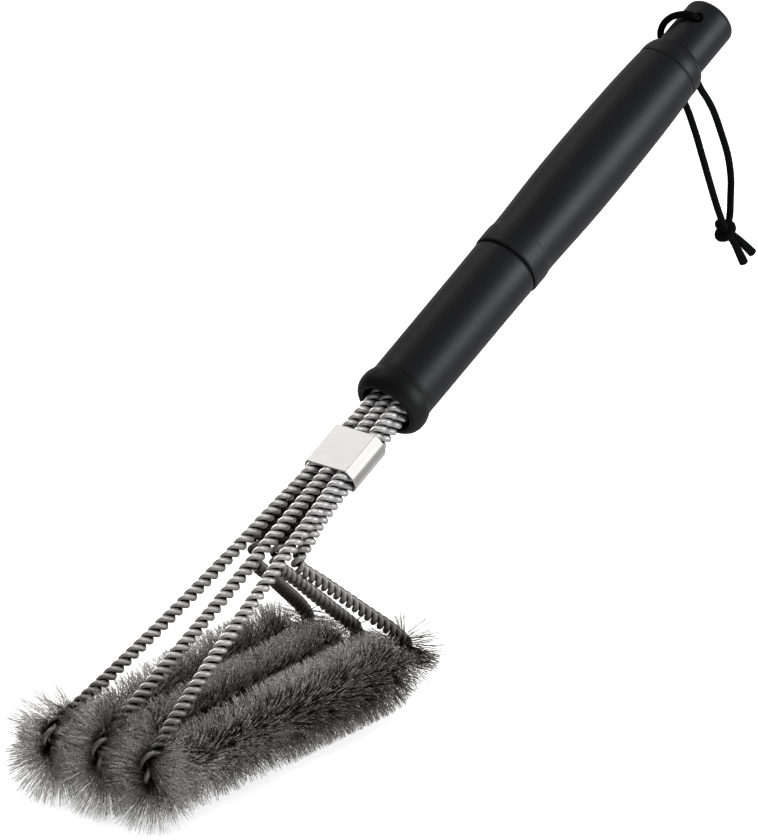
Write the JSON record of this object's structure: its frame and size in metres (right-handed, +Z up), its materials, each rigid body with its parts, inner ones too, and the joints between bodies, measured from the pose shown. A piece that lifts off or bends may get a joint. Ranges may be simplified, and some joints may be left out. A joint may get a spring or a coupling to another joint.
{
  "type": "grill cleaning brush",
  "caption": "Long-handled wire grill brush: parallel bristle rows on twisted steel wire loops, gathered by a steel band into a turned black handle with a hanging cord.",
  "frame": {"origin": "on the plane of the bristle tips, under the middle of the centre bristle row", "axes": "+X along the bristle rows, from the front hooks towards the handle's tail; +Y to the left row; +Z up, away from the surface being brushed. The handle rises towards +X at 25 degrees in the plane y = 0."},
  "size_m": [0.4358, 0.0888, 0.2229],
  "materials": {
    "handle_plastic": "satin",
    "inner_plastic": "matte",
    "strand_steel": "satin",
    "bristle_steel": "satin",
    "band_steel": "polished",
    "cord_textile": "matte"
  },
  "bodies": {
    "brush": {"front_collar": "handle_plastic", "front_grip_shell": "handle_plastic", "rear_grip_shell": "handle_plastic", "rear_shoulder": "handle_plastic", "end_cap": "handle_plastic", "mouth_packing": "inner_plastic", "wire_anchor_block": "inner_plastic", "coupling_sleeve": "inner_plastic", "wire_band": "band_steel", "wire_loop_left_a": "strand_steel", "wire_loop_left_b": "strand_steel", "bristle_row_left": "bristle_steel", "bristle_tuft_front_left": "bristle_steel", "bristle_tuft_rear_left": "bristle_steel", "wire_loop_centre_a": "strand_steel", "wire_loop_centre_b": "strand_steel", "bristle_row_centre": "bristle_steel", "bristle_tuft_front_centre": "bristle_steel", "bristle_tuft_rear_centre": "bristle_steel", "wire_loop_right_a": "strand_steel", "wire_loop_right_b": "strand_steel", "bristle_row_right": "bristle_steel", "bristle_tuft_front_right": "bristle_steel", "bristle_tuft_rear_right": "bristle_steel", "cord_through_cap": "cord_textile"},
    "cord_loop": {"cord_leg_near": "cord_textile", "cord_leg_far": "cord_textile"},
    "cord_end": {"cord_knot": "cord_textile", "cord_tail_long": "cord_textile", "cord_tail_short": "cord_textile"}
  },
  "joints": [
    {"name": "cord_swing", "type": "hinge", "parent": "brush", "child": "cord_loop", "pos_m": [0.3095, 0, 0.1904], "axis": [0, -1, 0], "range_deg": [-25, 60]},
    {"name": "cord_end_swing", "type": "hinge", "parent": "cord_loop", "child": "cord_end", "pos_m": [0.3194, -0.0042, 0.1244], "axis": [0, -1, 0], "range_deg": [-35, 35]}
  ]
}
